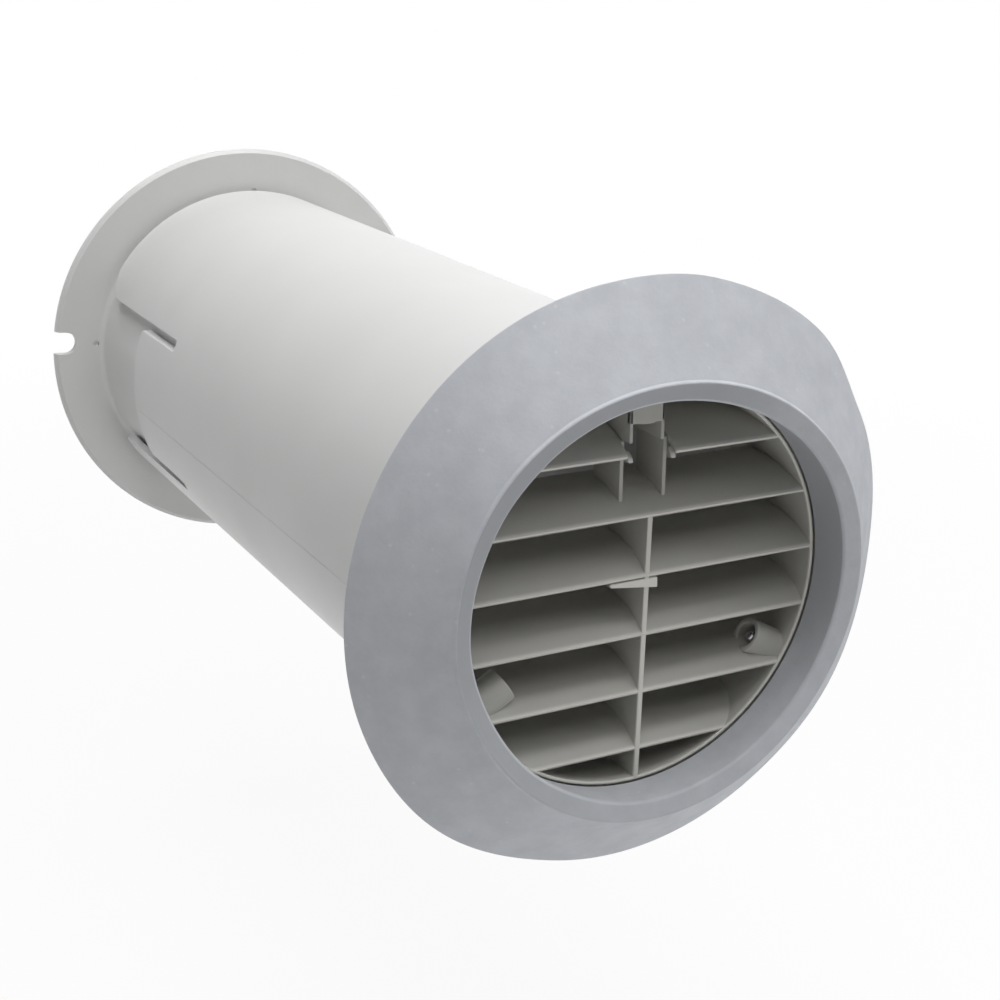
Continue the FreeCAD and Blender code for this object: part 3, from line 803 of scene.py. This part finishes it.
def screw():
    """A screw along +Y, its head flush with the tube: rings of points, with a helix as the thread."""
    seat = TUBE_RADIUS
    tip = seat - SCREW_LENGTH
    neck = seat - SCREW_HEAD_HEIGHT
    solid = bmesh.new()
    steps = round((neck - tip) / THREAD_PITCH * THREAD_STEPS)
    rings = []
    for step in range(steps + 1):
        along = tip + (neck - tip) * step / steps
        sharpness = max(0.0, 1 - (along - tip) / SCREW_POINT_LENGTH)
        core = SCREW_RADIUS - (SCREW_RADIUS - SCREW_POINT_RADIUS) * sharpness
        ring = []
        for facet in range(THREAD_FACETS):
            phase = ((along - tip) / THREAD_PITCH - facet / THREAD_FACETS) % 1
            groove = min(1.0, THREAD_STEEPNESS * abs(2 * phase - 1))
            radius = core - THREAD_DEPTH * groove * core / SCREW_RADIUS
            angle = math.tau * facet / THREAD_FACETS
            ring.append(solid.verts.new((radius * math.cos(angle), along, radius * math.sin(angle))))
        rings.append(ring)
    head = []
    for facet in range(THREAD_FACETS):
        angle = math.tau * facet / THREAD_FACETS
        x = SCREW_HEAD_RADIUS * math.cos(angle)
        z = SCREW_HEAD_RADIUS * math.sin(angle)
        head.append(solid.verts.new((x, seat, z)))
    rings.append(head)
    for ring, after in zip(rings, rings[1:]):
        for facet in range(THREAD_FACETS):
            solid.faces.new((ring[facet - 1], ring[facet], after[facet], after[facet - 1]))
    solid.faces.new(rings[0])
    solid.faces.new(rings[-1])
    bmesh.ops.recalc_face_normals(solid, faces=solid.faces)
    return solid


screw_mesh = as_mesh("screw", screw())
screw_mesh.transform(Matrix.Translation((0, BOSS_Y, 0)) @ Matrix.Rotation(math.radians(-90), 4, "Z"))
screws = as_object("screws", set_round("screws", screw_mesh, BOSS_ANGLES, zinc))
screws.data.transform(Matrix.Scale(MM, 4))
screws.data.shade_smooth()
screws.data.set_sharp_from_angle(angle=math.radians(SHARP_ANGLE))
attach(screws, "root")
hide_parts("grille_screws")

# Rubber flange: cone, lip and sleeve in one moulding of bluish grey rubber. The sleeve grips the
# tube's end, the lip covers its edge, and the cone presses on the outer face of the wall.
LIP_RADIUS = 50.4
BAND_INNER = 49.6
BAND_OUTER = 53.7
BAND_DISH = 1.4
BAND_INNER_ROUND = 1.0
BAND_OUTER_ROUND = 0.5
CREASE_WIDTH = 0.5
CREASE_DEPTH = 0.9
CREASE_ROUND = 0.4
FLAP_RADIUS = 73.0
FLAP_DEPTH = 16.5
FLAP_THICKNESS = 1.6
FLAP_EDGE_ROUND = 0.35
SLEEVE_GAP = 0.15
SLEEVE_WALL = 2.4
SLEEVE_ROOT_ROUND = 1.2
SLEEVE_EDGE_ROUND = 0.6
LIP_ZONE_DEPTH = 3.0
LIP_TUCK = 0.9
EDGE_SHARE = 0.6
RUBBER_FACETS = 320
# Tables round the axis: angles in degrees from +X towards +Z, with millimetres for lean and sag and
# a share from 0 to 1 for painted shade and painted highlight.
FLAP_LEAN = ((-160, 0.5), (-140, 0.9), (-105, -1.2), (-58, -1.6), (-35, -1.1), (-5, -2.1), (28, -0.2),
             (50, 2.7), (75, 1.6), (100, -0.3), (130, 0.0), (180, 0.2))
LIP_SAG = ((-180, 0.5), (-155, 1.4), (-130, 0.9), (-90, 0.0), (-40, 0.0), (18, -1.0),
           (93, 2.8), (112, 2.7), (130, 2.2), (150, 1.1), (175, 0.5))
CREASE_SAG = ((-150, 0.8), (-90, -0.3), (-45, 0.0), (18, -1.2), (93, 1.7), (150, -0.3), (180, 0.1))
# The lip's table gives painted shade on its band and a painted highlight on the band's inner edge,
# strongest at the top and left; the tunnel's table gives painted shade on the tunnel's wall at the right
# and upper right.
LIP_SHADE_AND_HIGHLIGHT = ((-140, 0.8), (-90, 0.15), (-45, 0.0), (45, 0.0), (80, 1.0), (180, 1.0))
TUNNEL_SHADE = ((-50, 0.0), (-5, 1.0), (60, 1.0), (110, 0.0))
RUBBER_LIGHT = "#d7dae0"
RUBBER_DARK = "#cdd0d6"
RUBBER_SPECK = "#e4e6e9"
# Painted colours: shade for the lip's band and its tunnel, and a highlight for the band's inner edge.
RUBBER_PAINTED_SHADE = "#b9bcc1"
RUBBER_EDGE_HIGHLIGHT = "#dee1e6"
RUBBER_GLOSS = (0.5, 0.8)
RUBBER_IOR = 1.5
RUBBER_BLOTCH = 7.0
RUBBER_BLOTCH_DETAIL = 6.0
RUBBER_BLOTCH_ROUGHNESS = 0.62
RUBBER_BLOTCH_LIMITS = (0.25, 0.75)
RUBBER_GRAIN = 0.9
RUBBER_GRAIN_DETAIL = 4.0
RUBBER_GRAIN_STRENGTH = 0.35
RUBBER_GRAIN_DEPTH = 0.12
SPECK_SPACING = 5.0
SPECK_LIMITS = (0.05, 0.12)
SPECK_SHARE = 0.5

flange_front, flange_rear = (corner.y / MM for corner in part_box("rubber_flange"))

# Moulded rubber, dusted with talc: matt, blotchy in tone, with pale specks and a soft fine grain
# that is drawn a little coarser than it is, so that it shows. The lip's band and the wall of its
# tunnel carry painted shade, and the band's inner edge carries a painted highlight.
rubber, tree, shader = new_material("grey rubber, moulded matt")
place = add_node(tree, "ShaderNodeTexCoord").outputs["Object"]
blotch = noise(tree, place, RUBBER_BLOTCH, RUBBER_BLOTCH_DETAIL, RUBBER_BLOTCH_ROUGHNESS)
blotch_share = add_node(tree, "ShaderNodeMapRange", {"interpolation_type": "SMOOTHSTEP"},
                        {"Value": blotch,
                         "From Min": RUBBER_BLOTCH_LIMITS[0], "From Max": RUBBER_BLOTCH_LIMITS[1]})
tone = mixed(tree, blotch_share.outputs["Result"], linear(RUBBER_LIGHT), linear(RUBBER_DARK))
dots = add_node(tree, "ShaderNodeTexVoronoi", None, {"Vector": place, "Scale": 1 / (SPECK_SPACING * MM)})
speck = add_node(tree, "ShaderNodeMapRange", None,
                 {"Value": dots.outputs["Distance"], "To Min": SPECK_SHARE, "To Max": 0.0,
                  "From Min": SPECK_LIMITS[0], "From Max": SPECK_LIMITS[1]})
specked = mixed(tree, speck.outputs["Result"], tone, linear(RUBBER_SPECK))
# Painted shade darkens the band and the tunnel's wall; a painted highlight pales the band's inner edge.
band_share = add_node(tree, "ShaderNodeAttribute", {"attribute_name": "painted_band_shade"}).outputs["Fac"]
banded = mixed(tree, band_share, specked, linear(RUBBER_PAINTED_SHADE))
edge_share = add_node(tree, "ShaderNodeAttribute", {"attribute_name": "painted_edge_highlight"}).outputs["Fac"]
grain = noise(tree, place, RUBBER_GRAIN, RUBBER_GRAIN_DETAIL)
link_all(tree, shader, {
    "Base Color": mixed(tree, edge_share, banded, linear(RUBBER_EDGE_HIGHLIGHT)),
    "Roughness": spread(tree, blotch, RUBBER_GLOSS),
    "Normal": relief(tree, grain, RUBBER_GRAIN_STRENGTH, RUBBER_GRAIN_DEPTH),
})
shader.inputs["IOR"].default_value = RUBBER_IOR


def eased(table, angle):
    """Value at an angle in degrees from a table round the axis, with a soft ease between its spots."""
    spots = list(table) + [(table[0][0] + 360, table[0][1])]
    angle = (angle - spots[0][0]) % 360 + spots[0][0]
    for (low, start), (high, end) in zip(spots, spots[1:]):
        if angle <= high:
            share = (angle - low) / (high - low)
            return start + (end - start) * (1 - math.cos(math.pi * share)) / 2


flap_angle = math.atan2(FLAP_DEPTH, FLAP_RADIUS - BAND_OUTER)
sleeve_bore = TUBE_RADIUS + SLEEVE_GAP
sleeve_radius = sleeve_bore + SLEEVE_WALL
edge_radius = FLAP_RADIUS - FLAP_THICKNESS * math.sin(flap_angle)
edge_y = flange_front + FLAP_DEPTH + FLAP_THICKNESS * math.cos(flap_angle)
flap_rise = (sleeve_radius - BAND_OUTER) * math.tan(flap_angle)
root_y = flange_front + flap_rise + FLAP_THICKNESS / math.cos(flap_angle)
flange_solid = turned(rounded([
    (BAND_INNER, flange_front + BAND_DISH, BAND_INNER_ROUND), (BAND_OUTER, flange_front, BAND_OUTER_ROUND),
    (BAND_OUTER + CREASE_WIDTH, flange_front + CREASE_DEPTH, CREASE_ROUND),
    (FLAP_RADIUS, flange_front + FLAP_DEPTH, FLAP_EDGE_ROUND), (edge_radius, edge_y, FLAP_EDGE_ROUND),
    (sleeve_radius, root_y, SLEEVE_ROOT_ROUND), (sleeve_radius, flange_rear, SLEEVE_EDGE_ROUND),
    (sleeve_bore, flange_rear, SLEEVE_EDGE_ROUND), (sleeve_bore, TUBE_FRONT, 0),
    (LIP_RADIUS, TUBE_FRONT, 0),
]), RUBBER_FACETS)

# Each vertex first takes its share of painted highlight, on the band's inner edge, or of painted
# shade, on the band and the tunnel's wall. Then the cone's rim leans, and the lip and its crease sag.
rim_start = edge_radius - FLAP_THICKNESS
lip_middle = (BAND_INNER + BAND_OUTER) / 2
crease_end = BAND_OUTER + CREASE_WIDTH + CREASE_ROUND
band_start = BAND_INNER + EDGE_SHARE * BAND_INNER_ROUND
band_end = BAND_OUTER - BAND_OUTER_ROUND / 2
edge_depth = flange_front + BAND_DISH + EDGE_SHARE * BAND_INNER_ROUND
painted_band_shade = flange_solid.verts.layers.float.new("painted_band_shade")
painted_edge_highlight = flange_solid.verts.layers.float.new("painted_edge_highlight")
for vert in flange_solid.verts:
    radius = math.hypot(vert.co.x, vert.co.z)
    angle = math.degrees(math.atan2(vert.co.z, vert.co.x))
    at_front = vert.co.y < flange_front + LIP_ZONE_DEPTH
    on_edge = at_front and radius < band_start
    # Painted highlight on the band's inner edge; painted shade on the band, and otherwise on the tunnel's
    # wall.
    if on_edge and vert.co.y < edge_depth:
        vert[painted_edge_highlight] = eased(LIP_SHADE_AND_HIGHLIGHT, angle)
    elif at_front and not on_edge and radius < band_end:
        vert[painted_band_shade] = eased(LIP_SHADE_AND_HIGHLIGHT, angle)
    elif radius < lip_middle:
        vert[painted_band_shade] = eased(TUNNEL_SHADE, angle)
    outward = 0
    if radius > rim_start:
        lean = eased(FLAP_LEAN, angle)
        outward = lean * math.sin(flap_angle)
        vert.co.y -= lean * math.cos(flap_angle)
    elif at_front and radius < lip_middle:
        outward = -eased(LIP_SAG, angle)
        vert.co.y += LIP_TUCK * max(0.0, -outward)
    elif at_front and radius < crease_end:
        outward = -eased(CREASE_SAG, angle)
    vert.co.x *= 1 + outward / radius
    vert.co.z *= 1 + outward / radius
flange = as_object("weather_flange", as_mesh("weather_flange", flange_solid))
round_edges(flange, MOULDED_EDGE)
finish_moulding(flange, rubber)
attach(flange, "root")
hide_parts("rubber_flange")

# Studio: a pale floor well below the sleeve, which is held up as if by its wall, a large soft lamp
# overhead, weaker ones ahead of it and at the right, and the camera where the photograph was taken.
FLOOR_DROP = 90.0
FLOOR_SIZE = 60000.0
FLOOR_WHITE = "#f4f4f4"
FLOOR_ROUGHNESS = 0.9
FLOOR_GLOW = 0.93
BACKDROP_WHITE = "#ffffff"
SHADOW_NEAR = 250.0
SHADOW_FAR = 700.0
LAMP_AIM = (0.0, -150.0, 0.0)
LAMP_SIZE = 1200.0
OVERHEAD_PLACE = (0.0, -150.0, 1200.0)
OVERHEAD_POWER = 12.6
FRONT_PLACE = (0.0, -687.0, 1073.0)
FRONT_POWER = 4.0
RIGHT_PLACE = (1075.0, -389.0, 478.0)
RIGHT_POWER = 3.2
CAMERA_PLACE = (-209.69, -604.47, 152.51)
CAMERA_AZIMUTH = -27.41
CAMERA_ELEVATION = 18.48
CAMERA_ROLL = 0.47
CAMERA_NEAR = 10.0
FOCAL_PIXELS = 1799.19
PICTURE_PIXELS = 1000
SENSOR_WIDTH = 36.0


def shown_to_camera(tree):
    """1 on rays that show a surface to the camera, directly, in a reflection or through glass, else 0."""
    path = add_node(tree, "ShaderNodeLightPath")
    shown = add_node(tree, "ShaderNodeMath", {"operation": "MAXIMUM"},
                     {0: path.outputs["Is Camera Ray"], 1: path.outputs["Is Glossy Ray"]})
    shown = add_node(tree, "ShaderNodeMath", {"operation": "MAXIMUM"},
                     {0: shown.outputs["Value"], 1: path.outputs["Is Transmission Ray"]})
    return shown.outputs["Value"]


# Matt white paper: seen from the camera it glows almost to pure white, a little less near the
# sleeve, where the floor keeps the object's shadow.
floor_white, tree, shader = new_material("white paper floor")
shader.inputs["Base Color"].default_value = linear(FLOOR_WHITE)
shader.inputs["Roughness"].default_value = FLOOR_ROUGHNESS
shown = shown_to_camera(tree)
place = add_node(tree, "ShaderNodeTexCoord").outputs["Object"]
away = add_node(tree, "ShaderNodeVectorMath", {"operation": "LENGTH"}, {0: place})
fade = add_node(tree, "ShaderNodeMapRange", None,
                {"Value": away.outputs["Value"], "From Min": SHADOW_NEAR * MM, "From Max": SHADOW_FAR * MM,
                 "To Min": FLOOR_GLOW, "To Max": 1.0})
glow_share = add_node(tree, "ShaderNodeMath", {"operation": "MULTIPLY"},
                      {0: shown, 1: fade.outputs["Result"]})
glow = add_node(tree, "ShaderNodeEmission", None, {"Color": linear(BACKDROP_WHITE)})
blend = add_node(tree, "ShaderNodeMixShader", None,
                 {0: glow_share.outputs["Value"], 1: shader.outputs["BSDF"], 2: glow.outputs["Emission"]})
tree.links.new(blend.outputs["Shader"], tree.nodes["Material Output"].inputs["Surface"])

floor_z = cad_box[0].z / MM - FLOOR_DROP
half_floor = FLOOR_SIZE / 2
floor_corners = [(-half_floor, -half_floor), (half_floor, -half_floor),
                 (half_floor, half_floor), (-half_floor, half_floor)]
floor_solid = bmesh.new()
floor_solid.faces.new([floor_solid.verts.new((x, y, floor_z)) for x, y in floor_corners])
floor_piece = as_object("floor", as_mesh("floor", floor_solid))
floor_piece.data.transform(Matrix.Scale(MM, 4))
floor_piece.data.materials.append(floor_white)

world = bpy.data.worlds.new("white backdrop")
bpy.context.scene.world = world
world.use_nodes = True
tree = world.node_tree
background = tree.nodes["Background"]
background.inputs["Color"].default_value = linear(BACKDROP_WHITE)
tree.links.new(shown_to_camera(tree), background.inputs["Strength"])

for name, lamp_place, power in (
        ("overhead_softbox", OVERHEAD_PLACE, OVERHEAD_POWER),
        ("front_softbox", FRONT_PLACE, FRONT_POWER),
        ("right_softbox", RIGHT_PLACE, RIGHT_POWER)):
    lamp_data = bpy.data.lights.new(name, "AREA")
    lamp_data.size = LAMP_SIZE * MM
    lamp_data.energy = power
    lamp = as_object(name, lamp_data)
    lamp.location = Vector(lamp_place) * MM
    lamp.rotation_euler = (Vector(LAMP_AIM) - Vector(lamp_place)).to_track_quat("-Z", "Y").to_euler()

azimuth = math.radians(CAMERA_AZIMUTH)
elevation = math.radians(CAMERA_ELEVATION)
roll = math.radians(CAMERA_ROLL)
towards = -Vector((math.sin(azimuth) * math.cos(elevation),
                   -math.cos(azimuth) * math.cos(elevation), math.sin(elevation)))
level = towards.cross(Vector((0, 0, 1))).normalized()
upright = level.cross(towards)
picture_right = level * math.cos(roll) + upright * math.sin(roll)
picture_up = upright * math.cos(roll) - level * math.sin(roll)
camera_data = bpy.data.cameras.new("photograph")
camera_data.sensor_width = SENSOR_WIDTH
camera_data.lens = FOCAL_PIXELS * SENSOR_WIDTH / PICTURE_PIXELS
camera_data.clip_start = CAMERA_NEAR * MM
camera = as_object("photograph", camera_data)
camera.matrix_world = Matrix.Translation(Vector(CAMERA_PLACE) * MM) @ Matrix(
    (picture_right, picture_up, -towards)).transposed().to_4x4()
bpy.context.scene.camera = camera
bpy.context.scene.view_settings.view_transform = "Standard"
